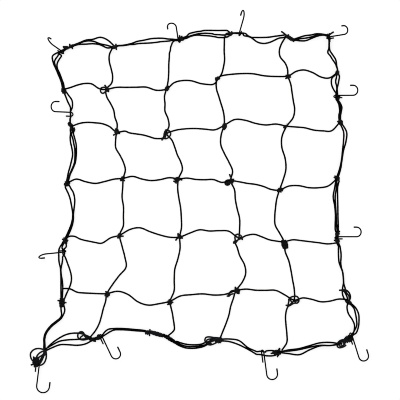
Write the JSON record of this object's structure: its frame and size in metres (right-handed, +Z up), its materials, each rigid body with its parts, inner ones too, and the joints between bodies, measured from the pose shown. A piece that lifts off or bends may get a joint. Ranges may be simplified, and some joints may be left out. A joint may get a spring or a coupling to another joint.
{
  "type": "luggage net",
  "caption": "Flat stretch-cord luggage net: knotted mesh tied to a loose-strand border with bent wire hooks round the edge.",
  "frame": {"origin": "on the surface the net lies on, under the middle of the box round the net and its hooks", "axes": "+Z up from the surface, +Y to the far edge along the net's longer side with its hooks, +X to the right"},
  "size_m": [0.6798, 0.7676, 0.0293],
  "materials": {
    "mesh_cord": "braided black elastic cord, matt",
    "border_cord": "braided black elastic cord, matt",
    "hook_wire": "dark plated spring wire with black dipped tips"
  },
  "bodies": {
    "root": {"net_mesh": "mesh_cord", "border_cords": "border_cord", "hook_01": "hook_wire", "hook_02": "hook_wire", "hook_03": "hook_wire", "hook_04": "hook_wire", "hook_05": "hook_wire", "hook_06": "hook_wire", "hook_07": "hook_wire", "hook_08": "hook_wire", "hook_09": "hook_wire", "hook_10": "hook_wire", "hook_11": "hook_wire", "hook_12": "hook_wire"}
  },
  "joints": []
}
